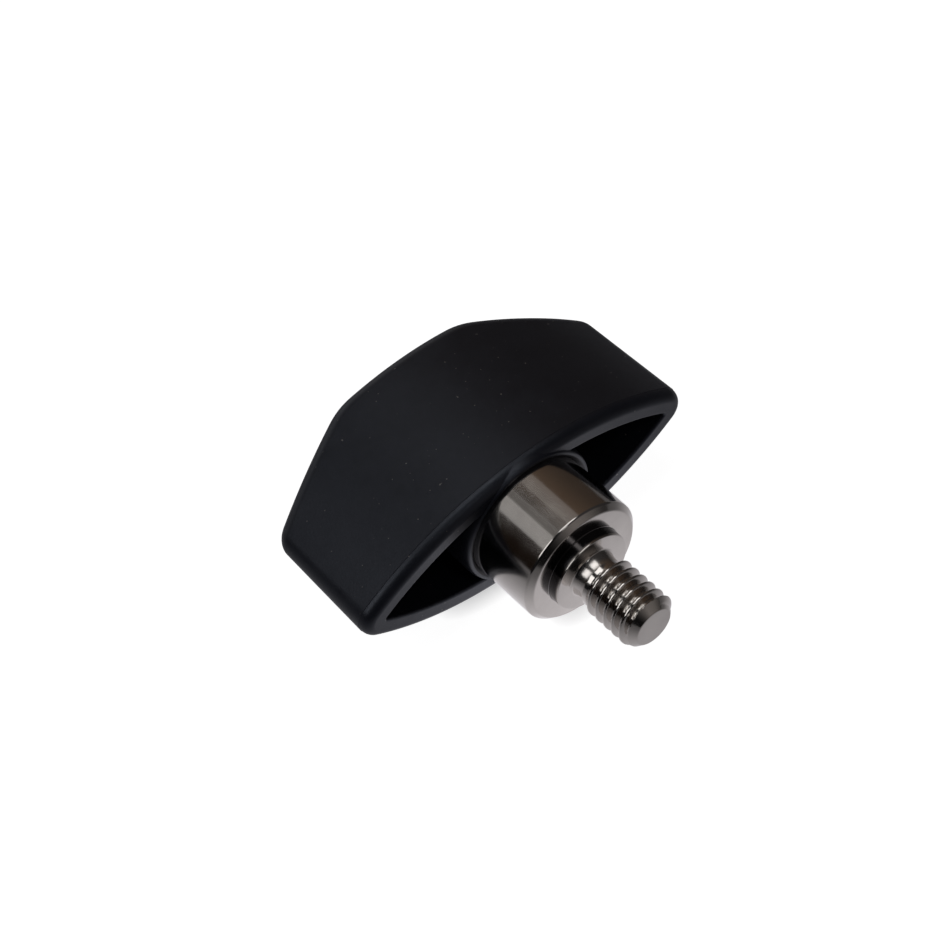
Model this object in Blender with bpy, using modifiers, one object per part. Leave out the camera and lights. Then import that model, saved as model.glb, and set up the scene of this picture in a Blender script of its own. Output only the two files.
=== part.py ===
"""Wing screw: a hollow moulded plastic wing on a plated turned stud.

Each object is built with the stud's axis along Z: the threaded tip points down, the wing stands
up along +Z and spreads along X. One parent empty then lays the whole screw on its side, as it
lies on a bench: the stud points along -Y, the wing is behind it along +Y, and Z is the wing's
thickness. The origin is on the axis, in the plane of the collar's end face, which is the face
that bears on the part the screw goes into.
"""

import math

import bmesh
import bpy

MM = 0.001
GAP = 0.3 * MM                       # between the stud and the plastic moulded round it

# Stud, from the seat plane at z = 0
COLLAR_RADIUS = 8.85 * MM
COLLAR_CHAMFER = 0.75 * MM
STEP_RADIUS = 5.65 * MM
STEP_HEIGHT = 1.6 * MM
STEP_CHAMFER = 0.2 * MM
THREAD_MAJOR_RADIUS = 3.93 * MM      # 5/16-18 UNC, plated
THREAD_PITCH = 25.4 / 18 * MM
THREAD_DEPTH = 0.61 * THREAD_PITCH
THREAD_START_TURN = 0.7              # turns the whole thread about its axis
THREAD_CREST_SHARE = 0.14            # of a pitch, flat at the crest
THREAD_FLANK_SHARE = 0.68            # of a pitch, both flanks together
THREAD_RUN_IN = 0.6 * THREAD_PITCH   # length over which the crest rises from the neck
NECK_RADIUS = 3.1 * MM
NECK_LENGTH = 1.7 * MM
STUD_LENGTH = 11.1 * MM              # from the step's face to the tip
TIP_RADIUS = 2.7 * MM
TIP_CHAMFER_LENGTH = 1.15 * MM
COLLAR_DEPTH_IN_BOSS = 2.6 * MM
COLLAR_BACK_CHAMFER = 0.4 * MM
GROOVE_RADIUS = 4.9 * MM
GROOVE_LENGTH = 1.6 * MM
KNURL_RADIUS = 6.3 * MM
KNURL_TOOTH_HEIGHT = 0.5 * MM
KNURL_TEETH = 20
KNURL_LENGTH = 7.0 * MM
CORE_RADIUS = KNURL_RADIUS - KNURL_TOOTH_HEIGHT - 0.2 * MM
CORE_END_LENGTH = 0.6 * MM           # of the core past the knurl
CORE_END_CHAMFER = 0.8 * MM
JOIN_OVERLAP = 0.2 * MM              # of two solids that are joined into one
BURIED_LENGTH = 0.5 * MM             # of the threaded end inside the step

# Wing: a lens in plan, made of two arcs and two rounded tips, with a three-sided roof
LAND_Z = 10.2 * MM                   # the flat rim round the open underside
ARC_RADIUS = 43.6 * MM
ARC_CENTRE_OFFSET = 33.5 * MM
TIP_ROUND_RADIUS = 3.0 * MM
ROOF_HEIGHT = 24.4 * MM              # above the land, in the middle
ROOF_FLAT_HALF_LENGTH = 9.8 * MM
ROOF_SHOULDER_X = 24.5 * MM
ROOF_SHOULDER_HEIGHT = 18.5 * MM
ROOF_CORNER_RADIUS = 9.8 * MM
RIM_ROUND = 1.3 * MM
ROOF_ROUND = 1.9 * MM
OUTER_DRAFT = math.radians(1.8)
WALL = 3.0 * MM
ROOF_THICKNESS = 3.0 * MM
POCKET_TIP_RADIUS = 0.25 * MM
POCKET_DRAFT = math.radians(0.8)
POCKET_CEILING_ROUND = 1.0 * MM
BOSS_RADIUS = 10.0 * MM
BOSS_RING_HEIGHT = 0.25 * MM         # the boss stands proud of the land
BOSS_RING_ROUND = 0.25 * MM
BOSS_RING_BURIED = 6 * MM
COLUMN_OVERSIZE = 0.02 * MM          # of the boss left standing between the pockets
CUTTER_TOP = 60 * MM
CUTTER_BOTTOM = -5 * MM
CUTTER_OVERSHOOT = 2 * MM

COLLAR_TOP = LAND_Z + COLLAR_DEPTH_IN_BOSS
KNURL_BOTTOM = COLLAR_TOP + GROOVE_LENGTH
KNURL_TOP = KNURL_BOTTOM + KNURL_LENGTH
CORE_TOP = KNURL_TOP + CORE_END_LENGTH

ROUND_STEPS = 4
RING_ROUND_STEPS = 3
ARC_STEPS = 26
TIP_STEPS = 8
TURN_STEPS = 56
THREAD_TURN_STEPS = 36
THREAD_ROWS_PER_PITCH = 6


def clear_scene():
    for item in list(bpy.data.objects):
        bpy.data.objects.remove(item, do_unlink=True)


def new_collection(name):
    collection = bpy.data.collections.new(name)
    bpy.context.scene.collection.children.link(collection)
    return collection


def new_material(name, colour, roughness, metallic):
    material = bpy.data.materials.new(name)
    material.use_nodes = True
    shader = material.node_tree.nodes["Principled BSDF"]
    shader.inputs["Base Color"].default_value = (*colour, 1.0)
    shader.inputs["Roughness"].default_value = roughness
    shader.inputs["Metallic"].default_value = metallic
    material.diffuse_color = (*colour, 1.0)
    return material


def object_from_bmesh(name, mesh_data, collection):
    bmesh.ops.recalc_face_normals(mesh_data, faces=mesh_data.faces)
    mesh = bpy.data.meshes.new(name)
    mesh_data.to_mesh(mesh)
    mesh_data.free()
    item = bpy.data.objects.new(name, mesh)
    collection.objects.link(item)
    return item


def make_cutter(item):
    item.hide_render = True
    item.display_type = "WIRE"
    return item


def add_boolean(item, operation, other):
    modifier = item.modifiers.new(f"{operation.lower()} {other.name}", "BOOLEAN")
    modifier.operation = operation
    modifier.solver = "EXACT"
    modifier.object = other


def shade(item, material, angle=32):
    item.data.materials.append(material)
    item.data.shade_smooth()
    item.data.set_sharp_from_angle(angle=math.radians(angle))


def turned(name, profile, collection):
    """A solid turned about Z from (radius, z) points listed from its top to its bottom."""
    mesh_data = bmesh.new()
    points = [mesh_data.verts.new((radius, 0, z)) for radius, z in profile]
    for first, second in zip(points, points[1:]):
        mesh_data.edges.new((first, second))
    mesh = bpy.data.meshes.new(name)
    mesh_data.to_mesh(mesh)
    mesh_data.free()
    item = bpy.data.objects.new(name, mesh)
    collection.objects.link(item)
    screw = item.modifiers.new("turn", "SCREW")
    screw.steps = TURN_STEPS
    screw.render_steps = TURN_STEPS
    screw.use_merge_vertices = True
    screw.merge_threshold = 0.00001
    return item


def quarter_round(radius, steps):
    """(inset, drop) pairs that turn a side face into a flat one, from the side to the flat."""
    angles = [math.pi / 2 * step / steps for step in range(steps + 1)]
    return [(radius * (1 - math.cos(a)), radius * (1 - math.sin(a))) for a in angles]


def lens(arc_radius, tip_radius, inset=0.0):
    """The plan outline, anticlockwise from the front arc's left end, moved in by inset."""
    tip_x = math.sqrt((arc_radius - tip_radius) ** 2 - ARC_CENTRE_OFFSET ** 2)
    half_angle = math.asin(tip_x / (arc_radius - tip_radius))
    arc = arc_radius - inset
    tip = tip_radius - inset
    points = []
    for side in (-1, 1):
        for step in range(ARC_STEPS):
            angle = half_angle * (2 * step / ARC_STEPS - 1)
            points.append((-side * arc * math.sin(angle),
                           side * (arc * math.cos(angle) - ARC_CENTRE_OFFSET)))
        for step in range(TIP_STEPS):
            angle = (math.pi / 2 - half_angle) * (1 - 2 * step / TIP_STEPS)
            points.append((-side * (tip_x + tip * math.cos(angle)), side * tip * math.sin(angle)))
    return points


def roof(x):
    """Height of the roof above the land: flat in the middle, then a slope to each end."""
    slope = (ROOF_HEIGHT - ROOF_SHOULDER_HEIGHT) / (ROOF_SHOULDER_X - ROOF_FLAT_HALF_LENGTH)
    angle = math.atan(slope)
    blend = ROOF_CORNER_RADIUS * math.tan(angle / 2)
    along = abs(x) - (ROOF_FLAT_HALF_LENGTH - blend)
    if along <= 0:
        return ROOF_HEIGHT
    if along < ROOF_CORNER_RADIUS * math.sin(angle):
        return ROOF_HEIGHT - ROOF_CORNER_RADIUS + math.sqrt(ROOF_CORNER_RADIUS ** 2 - along ** 2)
    return ROOF_HEIGHT - slope * (along - blend)


def lofted_lens(name, rings, collection):
    """A solid through rings that share one point order: flat below, ruled across Y on top."""
    mesh_data = bmesh.new()
    rows = [[mesh_data.verts.new(point) for point in ring] for ring in rings]
    count = len(rows[0])
    for lower, upper in zip(rows, rows[1:]):
        for i in range(count):
            j = (i + 1) % count
            mesh_data.faces.new((lower[i], lower[j], upper[j], upper[i]))
    mesh_data.faces.new(list(reversed(rows[0])))
    top = rows[-1]
    first = count - TIP_STEPS // 2
    for step in range(count // 2):
        a, b = (first + step) % count, (first + step + 1) % count
        c, d = (first - step - 1) % count, (first - step) % count
        corners = list(dict.fromkeys((top[a], top[b], top[c], top[d])))
        mesh_data.faces.new(corners)
    return object_from_bmesh(name, mesh_data, collection)


def outer_rings():
    rings = []
    for inset, rise in reversed(quarter_round(RIM_ROUND, ROUND_STEPS)):
        rings.append([(x, y, LAND_Z + rise) for x, y in lens(ARC_RADIUS, TIP_ROUND_RADIUS, inset)])
    drafted = (ROOF_SHOULDER_HEIGHT - RIM_ROUND) * math.tan(OUTER_DRAFT)
    for inset, drop in quarter_round(ROOF_ROUND, ROUND_STEPS):
        outline = lens(ARC_RADIUS, TIP_ROUND_RADIUS, inset + drafted)
        rings.append([(x, y, LAND_Z + roof(x) - drop) for x, y in outline])
    return rings


def pocket_rings():
    arc_radius = ARC_RADIUS - WALL
    drafted = ROOF_SHOULDER_HEIGHT * math.tan(POCKET_DRAFT)
    mouth = arc_radius + CUTTER_OVERSHOOT * math.tan(POCKET_DRAFT)
    rings = [[(x, y, LAND_Z - CUTTER_OVERSHOOT) for x, y in lens(mouth, POCKET_TIP_RADIUS)]]
    for inset, drop in quarter_round(POCKET_CEILING_ROUND, ROUND_STEPS):
        outline = lens(arc_radius - inset - drafted, POCKET_TIP_RADIUS)
        rings.append([(x, y, LAND_Z + roof(x) - ROOF_THICKNESS - drop) for x, y in outline])
    return rings


def knurl_drum(name, bottom, top, swell, collection):
    """The shank's straight-knurled drum, or its socket when swell is the gap."""
    mesh_data = bmesh.new()
    rows = []
    for z in (bottom - swell, top + swell):
        row = []
        for step in range(2 * KNURL_TEETH):
            radius = KNURL_RADIUS + swell - (step % 2) * KNURL_TOOTH_HEIGHT
            angle = math.pi * step / KNURL_TEETH
            row.append(mesh_data.verts.new((radius * math.cos(angle), radius * math.sin(angle), z)))
        rows.append(row)
    mesh_data.faces.new(list(reversed(rows[0])))
    mesh_data.faces.new(rows[1])
    for i in range(2 * KNURL_TEETH):
        j = (i + 1) % (2 * KNURL_TEETH)
        mesh_data.faces.new((rows[0][i], rows[0][j], rows[1][j], rows[1][i]))
    return object_from_bmesh(name, mesh_data, collection)


def thread_radius(angle, below_neck):
    """Radius of the right-hand thread's surface, below_neck being the depth past the neck."""
    turn = below_neck / THREAD_PITCH + angle / (2 * math.pi) + THREAD_START_TURN
    across = abs(turn % 1.0 - 0.5) * 2
    groove = min(max((across - THREAD_CREST_SHARE) / THREAD_FLANK_SHARE, 0.0), 1.0)
    run_in = min(below_neck / THREAD_RUN_IN, 1.0)
    crest = NECK_RADIUS + (THREAD_MAJOR_RADIUS - NECK_RADIUS) * max(run_in, 0.0)
    return max(crest - THREAD_DEPTH * groove, min(NECK_RADIUS, crest))


def threaded_end(name, collection):
    """Neck, thread and chamfered tip as one loft; its top end is buried in the step."""
    face = -STEP_HEIGHT
    tip = face - STUD_LENGTH
    neck_end = face - NECK_LENGTH
    spacing = THREAD_PITCH / THREAD_ROWS_PER_PITCH
    threaded = neck_end - tip
    count = round(threaded / spacing)
    heights = [face + BURIED_LENGTH, neck_end + spacing / 2]
    heights += [neck_end - threaded * step / count for step in range(count + 1)]
    mesh_data = bmesh.new()
    rows = []
    for z in heights:
        row = []
        for step in range(THREAD_TURN_STEPS):
            angle = 2 * math.pi * step / THREAD_TURN_STEPS
            radius = NECK_RADIUS if z > neck_end else thread_radius(angle, neck_end - z)
            chamfer = TIP_RADIUS + (z - tip) * (THREAD_MAJOR_RADIUS - TIP_RADIUS) / TIP_CHAMFER_LENGTH
            radius = min(radius, chamfer)
            row.append(mesh_data.verts.new((radius * math.cos(angle), radius * math.sin(angle), z)))
        rows.append(row)
    mesh_data.faces.new(rows[0])
    mesh_data.faces.new(list(reversed(rows[-1])))
    for upper, lower in zip(rows, rows[1:]):
        for i in range(THREAD_TURN_STEPS):
            j = (i + 1) % THREAD_TURN_STEPS
            mesh_data.faces.new((upper[i], lower[i], lower[j], upper[j]))
    return object_from_bmesh(name, mesh_data, collection)


def stud_profile():
    return [
        (0, CORE_TOP),
        (CORE_RADIUS - CORE_END_CHAMFER, CORE_TOP),
        (CORE_RADIUS, CORE_TOP - CORE_END_CHAMFER),
        (CORE_RADIUS, KNURL_BOTTOM + JOIN_OVERLAP),
        (GROOVE_RADIUS, KNURL_BOTTOM + JOIN_OVERLAP),
        (GROOVE_RADIUS, COLLAR_TOP),
        (COLLAR_RADIUS - COLLAR_BACK_CHAMFER, COLLAR_TOP),
        (COLLAR_RADIUS, COLLAR_TOP - COLLAR_BACK_CHAMFER),
        (COLLAR_RADIUS, COLLAR_CHAMFER),
        (COLLAR_RADIUS - COLLAR_CHAMFER, 0),
        (STEP_RADIUS, 0),
        (STEP_RADIUS, STEP_CHAMFER - STEP_HEIGHT),
        (STEP_RADIUS - STEP_CHAMFER, -STEP_HEIGHT),
        (0, -STEP_HEIGHT),
    ]


def socket_profile():
    """The stud's space in the boss: a counterbore for the collar and a bore at the groove."""
    bottom = LAND_Z - CUTTER_OVERSHOOT
    return [
        (0, CORE_TOP + GAP),
        (CORE_RADIUS + GAP - CORE_END_CHAMFER, CORE_TOP + GAP),
        (CORE_RADIUS + GAP, CORE_TOP + GAP - CORE_END_CHAMFER),
        (CORE_RADIUS + GAP, KNURL_BOTTOM),
        (GROOVE_RADIUS + GAP, KNURL_BOTTOM),
        (GROOVE_RADIUS + GAP, COLLAR_TOP + GAP),
        (COLLAR_RADIUS + GAP, COLLAR_TOP + GAP),
        (COLLAR_RADIUS + GAP, bottom),
        (0, bottom),
    ]


def boss_ring_profile():
    bottom = LAND_Z - BOSS_RING_HEIGHT
    buried = LAND_Z + BOSS_RING_BURIED
    points = [(0, buried), (BOSS_RADIUS, buried)]
    for inset, rise in quarter_round(BOSS_RING_ROUND, RING_ROUND_STEPS):
        points.append((BOSS_RADIUS - inset, bottom + rise))
    return points + [(0, bottom)]


def build_wing(parts, cutters):
    wing = lofted_lens("wing", outer_rings(), parts)
    boss_ring = make_cutter(turned("boss_ring", boss_ring_profile(), cutters))
    column_radius = BOSS_RADIUS + COLUMN_OVERSIZE
    column_profile = [(0, CUTTER_TOP), (column_radius, CUTTER_TOP),
                      (column_radius, CUTTER_BOTTOM), (0, CUTTER_BOTTOM)]
    column = make_cutter(turned("boss_column", column_profile, cutters))
    pockets = make_cutter(lofted_lens("pockets", pocket_rings(), cutters))
    add_boolean(pockets, "DIFFERENCE", column)
    socket = make_cutter(turned("stud_socket", socket_profile(), cutters))
    knurl_socket = make_cutter(knurl_drum("knurl_socket", KNURL_BOTTOM, KNURL_TOP, GAP, cutters))
    add_boolean(wing, "UNION", boss_ring)
    add_boolean(wing, "DIFFERENCE", pockets)
    add_boolean(wing, "DIFFERENCE", socket)
    add_boolean(wing, "DIFFERENCE", knurl_socket)
    shade(wing, new_material("black_moulding", (0.017, 0.017, 0.020), 0.5, 0.0))


def build_stud(parts, cutters):
    stud = turned("stud", stud_profile(), parts)
    thread = make_cutter(threaded_end("threaded_end", cutters))
    knurl = make_cutter(knurl_drum("knurl", KNURL_BOTTOM, KNURL_TOP, 0.0, cutters))
    add_boolean(stud, "UNION", thread)
    add_boolean(stud, "UNION", knurl)
    shade(stud, new_material("bright_nickel", (0.60, 0.57, 0.54), 0.14, 1.0))


def lay_down(collections):
    """Turns everything about X by one parent, so that the stud points along -Y."""
    bench = bpy.data.objects.new("bench", None)
    bench.rotation_euler.x = -math.pi / 2
    bpy.context.scene.collection.objects.link(bench)
    for collection in collections:
        for item in collection.objects:
            item.parent = bench


def main():
    clear_scene()
    parts = new_collection("wing_screw")
    cutters = new_collection("cutters")
    build_wing(parts, cutters)
    build_stud(parts, cutters)
    lay_down((parts, cutters))


main()
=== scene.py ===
"""Looks for the wing screw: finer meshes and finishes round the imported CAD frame.

The meshes are worked out upright, with the stud's axis along Z and its tip down, and laid down
at the end as the CAD is: the stud then points along -Y and the thickness of the wing is Z.
"""

import math

import bmesh
import bpy
from mathutils import Matrix, Vector


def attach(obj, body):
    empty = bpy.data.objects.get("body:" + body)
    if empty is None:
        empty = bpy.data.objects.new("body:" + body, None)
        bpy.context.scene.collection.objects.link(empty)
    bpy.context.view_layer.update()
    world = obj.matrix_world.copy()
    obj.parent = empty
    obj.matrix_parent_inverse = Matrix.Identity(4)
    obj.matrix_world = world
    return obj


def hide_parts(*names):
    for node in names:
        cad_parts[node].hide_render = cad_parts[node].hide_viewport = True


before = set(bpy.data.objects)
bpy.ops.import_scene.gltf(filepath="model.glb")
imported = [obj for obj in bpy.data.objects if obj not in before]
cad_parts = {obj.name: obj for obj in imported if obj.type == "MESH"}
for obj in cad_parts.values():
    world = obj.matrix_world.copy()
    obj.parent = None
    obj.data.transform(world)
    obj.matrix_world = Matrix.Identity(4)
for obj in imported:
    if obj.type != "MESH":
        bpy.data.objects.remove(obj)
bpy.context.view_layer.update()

MM = 0.001

# Stud
COLLAR_RADIUS = 8.85 * MM
COLLAR_CHAMFER = 0.75 * MM
STEP_RADIUS = 5.65 * MM
STEP_HEIGHT = 1.6 * MM
THREAD_MAJOR_RADIUS = 3.93 * MM
THREAD_PITCH = 25.4 / 18 * MM
THREAD_DEPTH = 0.61 * THREAD_PITCH
THREAD_START_TURN = 0.7
THREAD_CREST_SHARE = 0.16
THREAD_FLANK_SHARE = 0.68
THREAD_ROOT_SOFTNESS = 0.14
THREAD_CREST_ROUND = 0.06 * MM
THREAD_CREST_LEAN = 0.12
THREAD_RUN_IN = 0.8 * THREAD_PITCH
THREAD_START_SLOPE = 1.5
NECK_RADIUS = 3.1 * MM
NECK_LENGTH = 1.7 * MM
NECK_FILLET = 0.25 * MM
NECK_FLARE = 0.30 * MM
NECK_CURVE_LENGTH = 1.62 * MM
NECK_CURVE_STEPS = 8
STUD_LENGTH = 11.1 * MM
TIP_RADIUS = 2.7 * MM
TIP_CHAMFER_LENGTH = 1.15 * MM
COLLAR_DEPTH_IN_BOSS = 2.6 * MM
FRONT_EDGE_ROUND = 0.17 * MM
FACE_EDGE_ROUND = 0.14 * MM
EDGE_ROUND = 0.10 * MM
EDGE_SUPPORT = 0.05 * MM
SHANK_RADIUS = 5.6 * MM
SHANK_LENGTH = 9.2 * MM
SHANK_END_GAP = 0.2 * MM

# Wing
LAND_Z = 10.2 * MM
ARC_RADIUS = 43.6 * MM
ARC_CENTRE_OFFSET = 33.5 * MM
TIP_ROUND_RADIUS = 3.0 * MM
ROOF_HEIGHT = 24.4 * MM
ROOF_FLAT_HALF_LENGTH = 9.8 * MM
ROOF_SHOULDER_X = 24.5 * MM
ROOF_SHOULDER_HEIGHT = 18.5 * MM
ROOF_CORNER_RADIUS = 9.8 * MM
RIM_ROUND = 1.3 * MM
RIM_RISE = 1.6 * MM
ROOF_ROUND = 1.9 * MM
OUTER_DRAFT = math.radians(1.8)
PARTING_STEP = 0.05 * MM
PARTING_RISE = 0.04 * MM
PARTING_GAP = 0.05 * MM
WALL = 3.0 * MM
ROOF_THICKNESS = 3.0 * MM
POCKET_TIP_RADIUS = 0.25 * MM
POCKET_DRAFT = math.radians(0.8)
POCKET_CEILING_ROUND = 1.0 * MM
POCKET_MOUTH_ROUND = 0.40 * MM
BOSS_RADIUS = 10.0 * MM
BOSS_RING_HEIGHT = 0.25 * MM
BOSS_RING_ROOT = 3 * MM
BOSS_EDGE_ROUND = 0.40 * MM
BOSS_EDGE_RISE = 1.5 * MM
SOCKET_GAP = 0.02 * MM
COUNTERSINK_WIDTH = 0.45 * MM
COUNTERSINK_DEPTH = 0.40 * MM

ROUND_STEPS = 8
CORNER_STEPS = 4
WING_SHARP_ANGLE = math.radians(40)
STUD_SHARP_ANGLE = math.radians(38)
ARC_STEPS = 90
TIP_STEPS = 28
TURN_STEPS = 240
ROWS_PER_PITCH = 26
CUTTER_OVERSHOOT = 2 * MM
CUTTER_FLARE = 0.1 * MM
CUTTER_TOP = 60 * MM
SLIVER_WIDTH = 0.002 * MM

# Moulding finish: noise scales are cells per metre
CLOUD_SCALE = 180
DUST_SCALE = 2900
GLOSS_SCALE = 420
GRAIN_SCALE = 5200
GRAIN_DEPTH = 0.016 * MM
DUST_THRESHOLD = (0.84, 0.87)
DUST_COLOUR = (0.16, 0.15, 0.14)
PLASTIC_COLOURS = [(0.3, (0.0072, 0.0082, 0.0130)), (0.7, (0.0115, 0.0128, 0.0190))]
PLASTIC_ROUGHNESS = (0.34, 0.42)

# Nickel finish
TURNING_SCALE = 9000
TURNING_DEPTH = 0.0010 * MM
PATCH_SCALE = 260
NICKEL_COLOURS = [(0.3, (0.53, 0.50, 0.475)), (0.7, (0.59, 0.56, 0.53))]
NICKEL_ROUGHNESS = (0.10, 0.17)

# Zones of the nickel finish, by distance from the stud's axis and place along it: a painted shade
# on the pilot step's side, in the corner under the collar's face, and a rougher neck
PILOT_SHADE_RADII = (STEP_RADIUS - 0.35 * MM, STEP_RADIUS - 0.15 * MM)
FACE_RADII = (STEP_RADIUS + 0.02 * MM, STEP_RADIUS + 0.10 * MM)
PILOT_SHADE_SPAN = (-1.45 * MM, -1.15 * MM)
PILOT_SHADE_COLOUR = (0.075, 0.072, 0.075)
NECK_RADII = (NECK_RADIUS + 0.3 * MM, NECK_RADIUS + 0.6 * MM)
NECK_SPAN = (-3.5 * MM, -3.2 * MM)
NECK_ROUGHNESS = 0.07

# Floor
FLOOR_HALF_SIZE = 1.5
FLOOR_GLOW = 1.3
FLOOR_GLOW_COLOUR = (0.97, 0.95, 1)
FLOOR_FADE = 18 * MM
FLOOR_POOL = (2 * MM, 7 * MM, -10 * MM)
FLOOR_CONTACT = (0, 5.5 * MM, -10 * MM)
FLOOR_CONTACT_SPAN = (3 * MM, 7 * MM)
FLOOR_CONTACT_SHADE = 0.1
FLOOR_WHITE = 0.95
CONTACT_SAMPLES = 16
CONTACT_REACH = 2.2 * MM
CONTACT_GREY = 0.40

# Lights: a card's turn is counted from CARD_START, the direction across the stud that faces the
# camera, towards CARD_SIDE
LIGHT_DISTANCE = 0.9
CARD_START = Vector((-0.4076, 0, 0.9132))
CARD_SIDE = Vector((0.9132, 0, 0.4076))
# name, azimuth, elevation, width and height in degrees, radiance
SOFTBOXES = [("softbox_top", 159.5, 76, 32, 20, 1.75), ("softbox_left", -108.4, 44.4, 32, 20, 1.75)]
# name, turn, tilt, width and height in degrees, radiance
CARDS = [("card_left", -12, 119, 22, 11, 0.36), ("card_middle", 6, 119, 14, 11, 0.13),
         ("card_right", 23, 119, 20, 11, 0.035), ("card_front", 24, 64, 9, 12, 2.0),
         ("card_top", 43, 119, 20, 11, 0.13)]

# Room: colours from left (0) to right (1); the spans and the glow are by how far back a direction
# points, from -1 (front) to 1 (back)
ROOM_BACK = [(0.20, (0.010, 0.006, 0.004)), (0.42, (0.050, 0.043, 0.038)),
             (0.75, (0.100, 0.070, 0.050)), (1.0, (0.035, 0.028, 0.024))]
ROOM_MIDDLE = [(0.30, (0.006, 0.006, 0.007)), (0.50, (0.035, 0.034, 0.036)),
               (0.80, (0.045, 0.042, 0.042)), (1.0, (0.030, 0.028, 0.028))]
ROOM_FRONT = [(0.33, (0.006, 0.006, 0.006)), (0.42, (0.040, 0.038, 0.038)),
              (0.62, (0.200, 0.185, 0.180)), (0.85, (0.140, 0.130, 0.125))]
ROOM_BACK_SPAN = (0.25, 0.42)
ROOM_FRONT_SPAN = (-0.55, -0.75)
ROOM_BACK_GLOW = (0.70, 0.93, 0, 0.5)

# Camera
CAMERA_AIM = Vector((-2.23, 17.37, 3.38)) * MM
CAMERA_AZIMUTH = -36.22
CAMERA_ELEVATION = 52.93
CAMERA_ROLL = 5.72
CAMERA_DISTANCE = 445.2 * MM
CAMERA_LENS = 136.9
CAMERA_SENSOR = 36
CAMERA_CLIP = (0.01, 10)


def lying(point):
    """The upright point laid down as the CAD is."""
    x, y, z = point
    return (x, z, -y)


def object_from_bmesh(name, mesh_data):
    bmesh.ops.recalc_face_normals(mesh_data, faces=mesh_data.faces)
    mesh = bpy.data.meshes.new(name)
    mesh_data.to_mesh(mesh)
    mesh_data.free()
    item = bpy.data.objects.new(name, mesh)
    bpy.context.scene.collection.objects.link(item)
    return item


def quarter_round(radius, steps):
    """(inset, drop) pairs that turn a side face into a flat one, from the side to the flat."""
    angles = [math.pi / 2 * step / steps for step in range(steps + 1)]
    return [(radius * (1 - math.cos(a)), radius * (1 - math.sin(a))) for a in angles]


def lens(arc_radius, tip_radius, inset=0.0):
    """The plan outline, anticlockwise from the front arc's left end, moved in by inset."""
    tip_x = math.sqrt((arc_radius - tip_radius) ** 2 - ARC_CENTRE_OFFSET ** 2)
    half_angle = math.asin(tip_x / (arc_radius - tip_radius))
    arc = arc_radius - inset
    tip = tip_radius - inset
    points = []
    for side in (-1, 1):
        for step in range(ARC_STEPS):
            angle = half_angle * (2 * step / ARC_STEPS - 1)
            points.append((-side * arc * math.sin(angle),
                           side * (arc * math.cos(angle) - ARC_CENTRE_OFFSET)))
        for step in range(TIP_STEPS):
            angle = (math.pi / 2 - half_angle) * (1 - 2 * step / TIP_STEPS)
            points.append((-side * (tip_x + tip * math.cos(angle)), side * tip * math.sin(angle)))
    return points


def roof(x):
    """Height of the roof above the land: flat in the middle, then a slope to each end."""
    slope = (ROOF_HEIGHT - ROOF_SHOULDER_HEIGHT) / (ROOF_SHOULDER_X - ROOF_FLAT_HALF_LENGTH)
    angle = math.atan(slope)
    blend = ROOF_CORNER_RADIUS * math.tan(angle / 2)
    along = abs(x) - (ROOF_FLAT_HALF_LENGTH - blend)
    if along <= 0:
        return ROOF_HEIGHT
    if along < ROOF_CORNER_RADIUS * math.sin(angle):
        return ROOF_HEIGHT - ROOF_CORNER_RADIUS + math.sqrt(ROOF_CORNER_RADIUS ** 2 - along ** 2)
    return ROOF_HEIGHT - slope * (along - blend)


def lofted_lens(name, rings):
    """A solid through rings that share one point order: flat below, ruled across on top."""
    mesh_data = bmesh.new()
    rows = [[mesh_data.verts.new(lying(point)) for point in ring] for ring in rings]
    count = len(rows[0])
    for lower, upper in zip(rows, rows[1:]):
        for i in range(count):
            j = (i + 1) % count
            mesh_data.faces.new((lower[i], lower[j], upper[j], upper[i]))
    mesh_data.faces.new(list(reversed(rows[0])))
    top = rows[-1]
    first = count - TIP_STEPS // 2
    for step in range(count // 2):
        a, b = (first + step) % count, (first + step + 1) % count
        c, d = (first - step - 1) % count, (first - step) % count
        corners = list(dict.fromkeys((top[a], top[b], top[c], top[d])))
        mesh_data.faces.new(corners)
    return object_from_bmesh(name, mesh_data)


def revolved(name, profile):
    """A closed solid turned about the axis from (radius, z) points, top to bottom."""
    mesh_data = bmesh.new()
    rows = []
    for radius, z in profile:
        if radius == 0:
            rows.append([mesh_data.verts.new(lying((0, 0, z)))])
            continue
        angles = [2 * math.pi * step / TURN_STEPS for step in range(TURN_STEPS)]
        rows.append([mesh_data.verts.new(lying((radius * math.cos(a), radius * math.sin(a), z)))
                     for a in angles])
    for upper, lower in zip(rows, rows[1:]):
        for i in range(TURN_STEPS):
            j = (i + 1) % TURN_STEPS
            ring = [upper[i % len(upper)], lower[i % len(lower)],
                    lower[j % len(lower)], upper[j % len(upper)]]
            mesh_data.faces.new(list(dict.fromkeys(ring)))
    return object_from_bmesh(name, mesh_data)


def outer_rings():
    """The wing's outside from the land up: rim round, parting step, drafted wall, roof round."""
    rings = []
    round_radius = RIM_ROUND - PARTING_STEP
    stretch = (RIM_RISE - PARTING_RISE - PARTING_GAP) / round_radius
    for inset, rise in reversed(quarter_round(round_radius, ROUND_STEPS)):
        outline = lens(ARC_RADIUS, TIP_ROUND_RADIUS, inset + PARTING_STEP)
        rings.append([(x, y, LAND_Z + rise * stretch) for x, y in outline])
    parting = LAND_Z + RIM_RISE
    for inset, z in ((PARTING_STEP, parting - PARTING_RISE), (0, parting)):
        rings.append([(x, y, z) for x, y in lens(ARC_RADIUS, TIP_ROUND_RADIUS, inset)])
    drafted = (ROOF_SHOULDER_HEIGHT - RIM_ROUND) * math.tan(OUTER_DRAFT)
    for inset, drop in quarter_round(ROOF_ROUND, ROUND_STEPS):
        outline = lens(ARC_RADIUS, TIP_ROUND_RADIUS, inset + drafted)
        rings.append([(x, y, LAND_Z + roof(x) - drop) for x, y in outline])
    return rings


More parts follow.
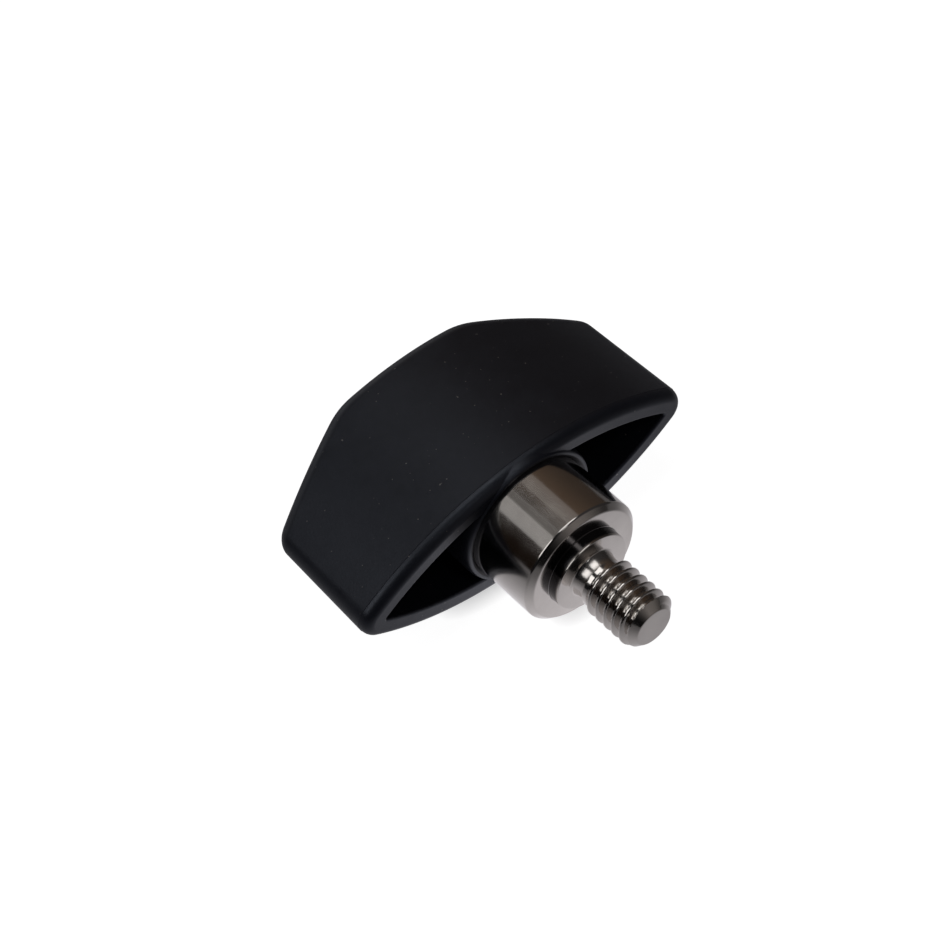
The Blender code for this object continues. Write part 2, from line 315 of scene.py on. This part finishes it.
def pocket_rings():
    """The cutter for both pockets: a flared mouth, drafted walls and a ceiling like the roof."""
    arc_radius = ARC_RADIUS - WALL
    drafted = ROOF_SHOULDER_HEIGHT * math.tan(POCKET_DRAFT)
    flared = lens(arc_radius, POCKET_TIP_RADIUS, -POCKET_MOUTH_ROUND - CUTTER_FLARE)
    rings = [[(x, y, LAND_Z - CUTTER_OVERSHOOT) for x, y in flared]]
    for out, rise in reversed(quarter_round(POCKET_MOUTH_ROUND, ROUND_STEPS)):
        rings.append([(x, y, LAND_Z + rise) for x, y in lens(arc_radius, POCKET_TIP_RADIUS, -out)])
    for inset, drop in quarter_round(POCKET_CEILING_ROUND, ROUND_STEPS):
        outline = lens(arc_radius - inset - drafted, POCKET_TIP_RADIUS)
        rings.append([(x, y, LAND_Z + roof(x) - ROOF_THICKNESS - drop) for x, y in outline])
    return rings


def add_boolean(item, operation, other):
    modifier = item.modifiers.new(operation.lower(), "BOOLEAN")
    modifier.operation = operation
    modifier.solver = "EXACT"
    modifier.object = other


def applied(item, cutters):
    """Bakes the item's modifiers into its mesh, closes up slivers and removes the cutters."""
    depsgraph = bpy.context.evaluated_depsgraph_get()
    mesh = bpy.data.meshes.new_from_object(item.evaluated_get(depsgraph))
    mesh_data = bmesh.new()
    mesh_data.from_mesh(mesh)
    bmesh.ops.remove_doubles(mesh_data, verts=mesh_data.verts, dist=SLIVER_WIDTH)
    bmesh.ops.dissolve_degenerate(mesh_data, edges=mesh_data.edges, dist=SLIVER_WIDTH)
    mesh_data.to_mesh(mesh)
    mesh_data.free()
    item.modifiers.clear()
    item.data = mesh
    for cutter in cutters:
        bpy.data.objects.remove(cutter, do_unlink=True)


def finish_shading(item, angle):
    """Smooth shading with edges kept sharp past the angle, and flats kept flat."""
    item.data.shade_smooth()
    item.data.set_sharp_from_angle(angle=angle)
    weighted = item.modifiers.new("even normals", "WEIGHTED_NORMAL")
    weighted.keep_sharp = True
    weighted.weight = 100


def build_wing():
    wing = lofted_lens("wing_moulding", outer_rings())
    bottom = LAND_Z - BOSS_RING_HEIGHT
    ring = [(0, LAND_Z + BOSS_RING_ROOT), (BOSS_RADIUS, LAND_Z + BOSS_RING_ROOT)]
    edge = [(BOSS_RADIUS - inset, bottom + rise * BOSS_EDGE_RISE / BOSS_EDGE_ROUND)
            for inset, rise in quarter_round(BOSS_EDGE_ROUND, 2 * ROUND_STEPS)]
    boss_ring = revolved("boss_ring", ring + edge + [(0, bottom)])
    column = revolved("column", [(0, CUTTER_TOP), (BOSS_RADIUS, CUTTER_TOP)] + edge + [
        (BOSS_RADIUS - BOSS_EDGE_ROUND, 0), (0, 0)])
    pockets = lofted_lens("pockets", pocket_rings())
    add_boolean(pockets, "DIFFERENCE", column)
    collar_top = LAND_Z + COLLAR_DEPTH_IN_BOSS + SOCKET_GAP
    socket_radius = COLLAR_RADIUS + SOCKET_GAP
    shank_radius = SHANK_RADIUS + SOCKET_GAP
    shank_top = collar_top + SHANK_LENGTH
    socket = revolved("socket", [
        (0, shank_top), (shank_radius, shank_top), (shank_radius, collar_top),
        (socket_radius, collar_top), (socket_radius, bottom + COUNTERSINK_DEPTH),
        (socket_radius + 2 * COUNTERSINK_WIDTH, bottom - COUNTERSINK_DEPTH),
        (0, bottom - COUNTERSINK_DEPTH)])
    add_boolean(wing, "UNION", boss_ring)
    add_boolean(wing, "DIFFERENCE", pockets)
    add_boolean(wing, "DIFFERENCE", socket)
    applied(wing, [boss_ring, column, pockets, socket])
    finish_shading(wing, WING_SHARP_ANGLE)
    return wing


def soft_min(a, b, softness):
    """The lesser of two, with the corner between them rounded."""
    h = max(softness - abs(a - b), 0.0) / softness
    return min(a, b) - h * h * softness / 4


def thread_radius(angle, below_neck):
    """Radius of the right-hand thread's surface, below_neck being the depth past the neck.

    Each ridge has a crest that leans a little towards the tip. The first ridges are low, and so
    broad, because the groove beside them is cut before the crest has its full height.
    """
    turn = below_neck / THREAD_PITCH + angle / (2 * math.pi) + THREAD_START_TURN
    past_crest = (turn % 1.0 - 0.5) * THREAD_PITCH
    across = abs(past_crest) * 2 / THREAD_PITCH
    groove = soft_min((across - THREAD_CREST_SHARE) / THREAD_FLANK_SHARE, 1, THREAD_ROOT_SOFTNESS)
    growth = min(max((below_neck - past_crest) / THREAD_RUN_IN, 0.0), 1.0)
    crest = NECK_RADIUS + (THREAD_MAJOR_RADIUS - NECK_RADIUS) * growth
    ridge = soft_min(crest - THREAD_CREST_LEAN * past_crest,
                     THREAD_MAJOR_RADIUS - THREAD_DEPTH * groove, THREAD_CREST_ROUND)
    return min(max(ridge, NECK_RADIUS), NECK_RADIUS + THREAD_START_SLOPE * max(below_neck, 0.0))


def rounded_corner(before, corner, after, radius):
    """Points of a small arc that replaces a corner of an (r, z) profile.

    A point just outside each end of the arc keeps the flats beside it flat in the shading.
    """
    a = (Vector(before) - Vector(corner)).normalized()
    b = (Vector(after) - Vector(corner)).normalized()
    points = [Vector(corner) + a * (radius + EDGE_SUPPORT)]
    for step in range(CORNER_STEPS + 1):
        t = step / CORNER_STEPS
        points.append(Vector(corner) + a * radius * (1 - t) ** 2 + b * radius * t ** 2)
    points.append(Vector(corner) + b * (radius + EDGE_SUPPORT))
    return [(point.x, point.y) for point in points]


def rounded_profile(points, radii):
    """The profile with its corners rounded by radii, one for each point; 0 keeps a corner sharp."""
    out = [points[0]]
    for i in range(1, len(points) - 1):
        if radii[i]:
            out += rounded_corner(points[i - 1], points[i], points[i + 1], radii[i])
        else:
            out.append(points[i])
    return out + [points[-1]]


def build_stud():
    """The turned stud in one skin: rows of a profile, with the thread's rows among them."""
    collar_top = LAND_Z + COLLAR_DEPTH_IN_BOSS
    shank_top = collar_top + SHANK_LENGTH - SHANK_END_GAP
    face = -STEP_HEIGHT
    tip = face - STUD_LENGTH
    neck_end = face - NECK_LENGTH
    neck = []
    for step in range(2, NECK_CURVE_STEPS + 1):  # the fillet takes the place of the first step
        along = step / NECK_CURVE_STEPS
        neck.append((NECK_RADIUS + NECK_FLARE * (1 - along) ** 2, face - NECK_CURVE_LENGTH * along))
    head = rounded_profile([
        (0, shank_top),
        (SHANK_RADIUS, shank_top),
        (SHANK_RADIUS, collar_top),
        (COLLAR_RADIUS, collar_top),
        (COLLAR_RADIUS, COLLAR_CHAMFER),
        (COLLAR_RADIUS - COLLAR_CHAMFER, 0),
        (STEP_RADIUS, 0),
        (STEP_RADIUS, face),
        (NECK_RADIUS + NECK_FLARE, face),
    ] + neck + [(NECK_RADIUS, neck_end)], [
        0, EDGE_ROUND, 0, EDGE_ROUND, FRONT_EDGE_ROUND, FACE_EDGE_ROUND, EDGE_ROUND,
        FACE_EDGE_ROUND, NECK_FILLET] + [0] * (len(neck) + 1))
    mesh_data = bmesh.new()
    rows = []

    def add_row(z, radius_at):
        angles = [2 * math.pi * step / TURN_STEPS for step in range(TURN_STEPS)]
        rows.append([mesh_data.verts.new(lying((radius_at(a) * math.cos(a),
                                                radius_at(a) * math.sin(a), z)))
                     for a in angles])

    for radius, z in head[1:]:
        add_row(z, lambda a, radius=radius: radius)
    count = round((neck_end - tip) / THREAD_PITCH * ROWS_PER_PITCH)
    slope = (THREAD_MAJOR_RADIUS - TIP_RADIUS) / TIP_CHAMFER_LENGTH
    up_the_chamfer = (TIP_RADIUS + slope * MM, tip + MM)
    tip_edge = rounded_corner(up_the_chamfer, (TIP_RADIUS, tip), (0, tip), EDGE_ROUND)
    for step in range(1, count + 1):
        z = neck_end - (neck_end - tip) * step / count
        if z <= tip_edge[0][1]:
            break

        def radius_at(a, z=z):
            return min(thread_radius(a, neck_end - z), TIP_RADIUS + (z - tip) * slope)
        add_row(z, radius_at)
    for radius, z in tip_edge:
        add_row(z, lambda a, radius=radius: radius)
    for upper, lower in zip(rows, rows[1:]):
        for i in range(TURN_STEPS):
            j = (i + 1) % TURN_STEPS
            mesh_data.faces.new((upper[i], lower[i], lower[j], upper[j]))
    mesh_data.faces.new(rows[0])
    mesh_data.faces.new(list(reversed(rows[-1])))
    stud = object_from_bmesh("turned_stud", mesh_data)
    finish_shading(stud, STUD_SHARP_ANGLE)
    return stud


class Nodes:
    """Short calls for building a material's node tree."""

    def __init__(self, tree, shader):
        self.tree = tree
        self.shader = shader

    def add(self, kind, **values):
        node = self.tree.nodes.new(kind)
        for name, value in values.items():
            setattr(node, name, value)
        return node

    def link(self, source, target):
        self.tree.links.new(source, target)

    def math(self, operation, first, second=None):
        node = self.add("ShaderNodeMath", operation=operation)
        for socket, value in zip(node.inputs, (first, second)):
            if isinstance(value, (int, float)):
                socket.default_value = value
            elif value is not None:
                self.link(value, socket)
        return node.outputs[0]

    def position(self):
        return self.add("ShaderNodeTexCoord").outputs["Object"]

    def distance(self, place):
        node = self.add("ShaderNodeVectorMath", operation="DISTANCE")
        self.link(self.position(), node.inputs[0])
        node.inputs[1].default_value = place
        return node.outputs["Value"]

    def noise(self, vector, scale, detail, roughness, dimensions="3D"):
        """Noise of a size set by scale, in cells per metre, over a place or a single number."""
        node = self.add("ShaderNodeTexNoise", noise_dimensions=dimensions)
        node.inputs["Scale"].default_value = scale
        node.inputs["Detail"].default_value = detail
        node.inputs["Roughness"].default_value = roughness
        self.link(vector, node.inputs["W" if dimensions == "1D" else "Vector"])
        return node.outputs[0]

    def spread(self, value, low, high, new_low, new_high):
        """The value with low..high mapped to new_low..new_high, and held at both ends."""
        node = self.add("ShaderNodeMapRange")
        for name, number in (("From Min", low), ("From Max", high),
                             ("To Min", new_low), ("To Max", new_high)):
            node.inputs[name].default_value = number
        self.link(value, node.inputs["Value"])
        return node.outputs[0]

    def ramp(self, value, stops):
        node = self.add("ShaderNodeValToRGB")
        elements = node.color_ramp.elements
        while len(elements) < len(stops):
            elements.new(0.5)
        for element, (place, colour) in zip(elements, stops):
            element.position = place
            element.color = (*colour, 1)
        self.link(value, node.inputs["Fac"])
        return node.outputs["Color"]

    def blend(self, share, first, second):
        """From the first colour to the second, which is a socket or three numbers."""
        node = self.add("ShaderNodeMix", data_type="RGBA")
        a, b = (socket for socket in node.inputs if socket.type == "RGBA")
        self.link(share, node.inputs["Factor"])
        self.link(first, a)
        if isinstance(second, tuple):
            b.default_value = (*second, 1)
        else:
            self.link(second, b)
        return next(socket for socket in node.outputs if socket.type == "RGBA")

    def bump(self, height, distance):
        node = self.add("ShaderNodeBump")
        node.inputs["Distance"].default_value = distance
        node.inputs["Strength"].default_value = 1
        self.link(height, node.inputs["Height"])
        return node.outputs["Normal"]


def new_material(name):
    material = bpy.data.materials.new(name)
    material.use_nodes = True
    return material, Nodes(material.node_tree, material.node_tree.nodes["Principled BSDF"])


def moulding_material():
    """Black plastic with a fine grain, clouds in its colour and gloss, and specks of dust."""
    material, n = new_material("black_moulding_grain")
    place = n.position()
    n.shader.inputs["Specular IOR Level"].default_value = 0.55
    n.shader.inputs["Specular Tint"].default_value = (0.80, 0.86, 1, 1)
    plastic = n.ramp(n.noise(place, CLOUD_SCALE, 3.0, 0.6), PLASTIC_COLOURS)
    dust = n.spread(n.noise(place, DUST_SCALE, 0.0, 0.5), *DUST_THRESHOLD, 0, 1)
    n.link(n.blend(dust, plastic, DUST_COLOUR), n.shader.inputs["Base Color"])
    n.link(n.spread(n.noise(place, GLOSS_SCALE, 4.0, 0.6), 0.25, 0.75, *PLASTIC_ROUGHNESS),
           n.shader.inputs["Roughness"])
    grain = n.noise(place, GRAIN_SCALE, 3.0, 0.65)
    n.link(n.bump(grain, GRAIN_DEPTH), n.shader.inputs["Normal"])
    return material


def nickel_material():
    """Bright plating with fine turning lines, rougher on the neck.

    The pilot step's side is painted dark. This is a painted shade for the corner under the collar's
    face.
    """
    material, n = new_material("bright_nickel_turned")
    place = n.position()
    parts = n.add("ShaderNodeSeparateXYZ")
    n.link(place, parts.inputs[0])
    n.shader.inputs["Metallic"].default_value = 1.0
    squares = n.math("ADD", n.math("MULTIPLY", parts.outputs["X"], parts.outputs["X"]),
                     n.math("MULTIPLY", parts.outputs["Z"], parts.outputs["Z"]))
    radius = n.math("SQRT", squares)
    lines = n.noise(n.math("ADD", parts.outputs["Y"], radius), TURNING_SCALE, 2.0, 0.6, "1D")
    patches = n.noise(place, PATCH_SCALE, 4.0, 0.55)
    plating = n.ramp(patches, NICKEL_COLOURS)
    # Painted shade: the pilot step's side is darkened in the corner under the collar's face
    dark = n.math("MULTIPLY", n.spread(radius, *PILOT_SHADE_RADII, 0, 1),
                  n.math("MULTIPLY", n.spread(radius, *FACE_RADII, 1, 0),
                         n.spread(parts.outputs["Y"], *PILOT_SHADE_SPAN, 0, 1)))
    n.link(n.blend(dark, plating, PILOT_SHADE_COLOUR), n.shader.inputs["Base Color"])
    neck = n.math("MULTIPLY", n.spread(radius, *NECK_RADII, NECK_ROUGHNESS, 0),
                  n.spread(parts.outputs["Y"], *NECK_SPAN, 0, 1))
    n.link(n.math("ADD", n.spread(patches, 0.25, 0.75, *NICKEL_ROUGHNESS), neck),
           n.shader.inputs["Roughness"])
    n.link(n.bump(lines, TURNING_DEPTH), n.shader.inputs["Normal"])
    return material


def build_floor():
    """A flat pale sheet, white to the camera, that glows softly in the stud's reflections.

    The glow fades with distance and is shaded under the collar. Where the sheet is close to the
    object the camera sees a narrow contact shade.
    """
    low = -(ARC_RADIUS - ARC_CENTRE_OFFSET)
    mesh_data = bmesh.new()
    half = FLOOR_HALF_SIZE
    corners = [(-half, -half), (half, -half), (half, half), (-half, half)]
    mesh_data.faces.new([mesh_data.verts.new((x, y, low)) for x, y in corners])
    floor = object_from_bmesh("floor", mesh_data)
    material, n = new_material("pale_floor")
    n.shader.inputs["Base Color"].default_value = (0.50, 0.50, 0.52, 1)
    n.shader.inputs["Roughness"].default_value = 0.9
    n.shader.inputs["Specular IOR Level"].default_value = 0.1
    fade = n.math("POWER", math.e, n.math("DIVIDE", n.distance(FLOOR_POOL), -FLOOR_FADE))
    shade = n.spread(n.distance(FLOOR_CONTACT), *FLOOR_CONTACT_SPAN, FLOOR_CONTACT_SHADE, 1)
    glow = n.math("MULTIPLY", FLOOR_GLOW, n.math("MULTIPLY", fade, shade))
    seen = n.add("ShaderNodeLightPath").outputs["Is Camera Ray"]
    unseen = n.math("SUBTRACT", 1, seen)
    n.link(n.ramp(seen, [(0, FLOOR_GLOW_COLOUR), (1, (1, 1, 1))]),
           n.shader.inputs["Emission Color"])
    contact = n.add("ShaderNodeAmbientOcclusion", samples=CONTACT_SAMPLES)
    contact.inputs["Distance"].default_value = CONTACT_REACH
    white = n.spread(contact.outputs["AO"], 0, 1, CONTACT_GREY, FLOOR_WHITE)
    n.link(n.math("ADD", n.math("MULTIPLY", unseen, glow), n.math("MULTIPLY", seen, white)),
           n.shader.inputs["Emission Strength"])
    floor.data.materials.append(material)


def direction(azimuth, elevation):
    """Unit vector towards a place seen at an azimuth from -Y and an elevation, in degrees."""
    a, e = math.radians(azimuth), math.radians(elevation)
    return Vector((math.sin(a) * math.cos(e), -math.cos(a) * math.cos(e), math.sin(e)))


def add_softbox(name, azimuth, elevation, width, height, radiance):
    """A softbox LIGHT_DISTANCE away, its width across the stud's axis and its height along it."""
    light = bpy.data.lights.new(name, "AREA")
    light.shape = "RECTANGLE"
    light.size = 2 * LIGHT_DISTANCE * math.tan(math.radians(width) / 2)
    light.size_y = 2 * LIGHT_DISTANCE * math.tan(math.radians(height) / 2)
    light.energy = radiance * math.pi * light.size * light.size_y
    item = bpy.data.objects.new(name, light)
    towards = direction(azimuth, elevation)
    across = Vector((0, 1, 0)).cross(towards).normalized()
    turn = Matrix((across, towards.cross(across), towards)).transposed()
    item.matrix_world = Matrix.Translation(towards * LIGHT_DISTANCE) @ turn.to_4x4()
    bpy.context.scene.collection.objects.link(item)


def add_ring_card(name, turn, tilt, width, height, radiance):
    """A dim card placed by its turn about the stud's axis and its tilt, the angle from -Y."""
    a, t = math.radians(turn), math.radians(tilt)
    around = CARD_START * math.cos(a) + CARD_SIDE * math.sin(a)
    towards = around * math.sin(t) + Vector((0, -math.cos(t), 0))
    azimuth = math.degrees(math.atan2(towards.x, -towards.y))
    add_softbox(name, azimuth, math.degrees(math.asin(towards.z)), width, height, radiance)


def build_world():
    """A dark room, brownish on the right, lighter in front, black on the left.

    Directions are blended by their share of Y from front to back. The camera sees plain white.
    """
    world = bpy.data.worlds.new("studio")
    bpy.context.scene.world = world
    world.use_nodes = True
    room = world.node_tree.nodes["Background"]
    n = Nodes(world.node_tree, room)
    parts = n.add("ShaderNodeSeparateXYZ")
    n.link(n.add("ShaderNodeTexCoord").outputs["Generated"], parts.inputs[0])
    across = n.spread(parts.outputs["X"], -1, 1, 0, 1)
    sides = n.blend(n.spread(parts.outputs["Y"], *ROOM_BACK_SPAN, 0, 1),
                    n.ramp(across, ROOM_MIDDLE), n.ramp(across, ROOM_BACK))
    room_colour = n.blend(n.spread(parts.outputs["Y"], *ROOM_FRONT_SPAN, 0, 1),
                          sides, n.ramp(across, ROOM_FRONT))
    total = n.add("ShaderNodeVectorMath", operation="ADD")
    n.link(room_colour, total.inputs[0])
    n.link(n.spread(parts.outputs["Y"], *ROOM_BACK_GLOW), total.inputs[1])
    n.link(total.outputs["Vector"], room.inputs["Color"])
    white = n.add("ShaderNodeBackground")
    white.inputs["Color"].default_value = (1, 1, 1, 1)
    mix = n.add("ShaderNodeMixShader")
    n.link(n.add("ShaderNodeLightPath").outputs["Is Camera Ray"], mix.inputs["Fac"])
    n.link(room.outputs[0], mix.inputs[1])
    n.link(white.outputs[0], mix.inputs[2])
    n.link(mix.outputs[0], world.node_tree.nodes["World Output"].inputs["Surface"])


def build_camera():
    """A long lens that looks down on the wing from the front left."""
    data = bpy.data.cameras.new("camera")
    data.lens = CAMERA_LENS
    data.sensor_width = CAMERA_SENSOR
    data.clip_start, data.clip_end = CAMERA_CLIP
    item = bpy.data.objects.new("camera", data)
    back = direction(CAMERA_AZIMUTH, CAMERA_ELEVATION)
    turn = (-back).to_track_quat("-Z", "Y").to_matrix() @ Matrix.Rotation(
        -math.radians(CAMERA_ROLL), 3, "Z")
    item.matrix_world = Matrix.Translation(CAMERA_AIM + back * CAMERA_DISTANCE) @ turn.to_4x4()
    bpy.context.scene.collection.objects.link(item)
    bpy.context.scene.camera = item


def dress(item, material, node):
    """Gives a piece its material, hangs it on the root body and hides the CAD part that it stands
    for.
    """
    item.data.materials.clear()
    item.data.materials.append(material)
    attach(item, "root")
    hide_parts(node)


dress(build_wing(), moulding_material(), "wing")
dress(build_stud(), nickel_material(), "stud")
build_floor()
build_world()
for softbox in SOFTBOXES:
    add_softbox(*softbox)
for card in CARDS:
    add_ring_card(*card)
build_camera()
bpy.context.scene.view_settings.view_transform = "Standard"

bpy.context.view_layer.update()
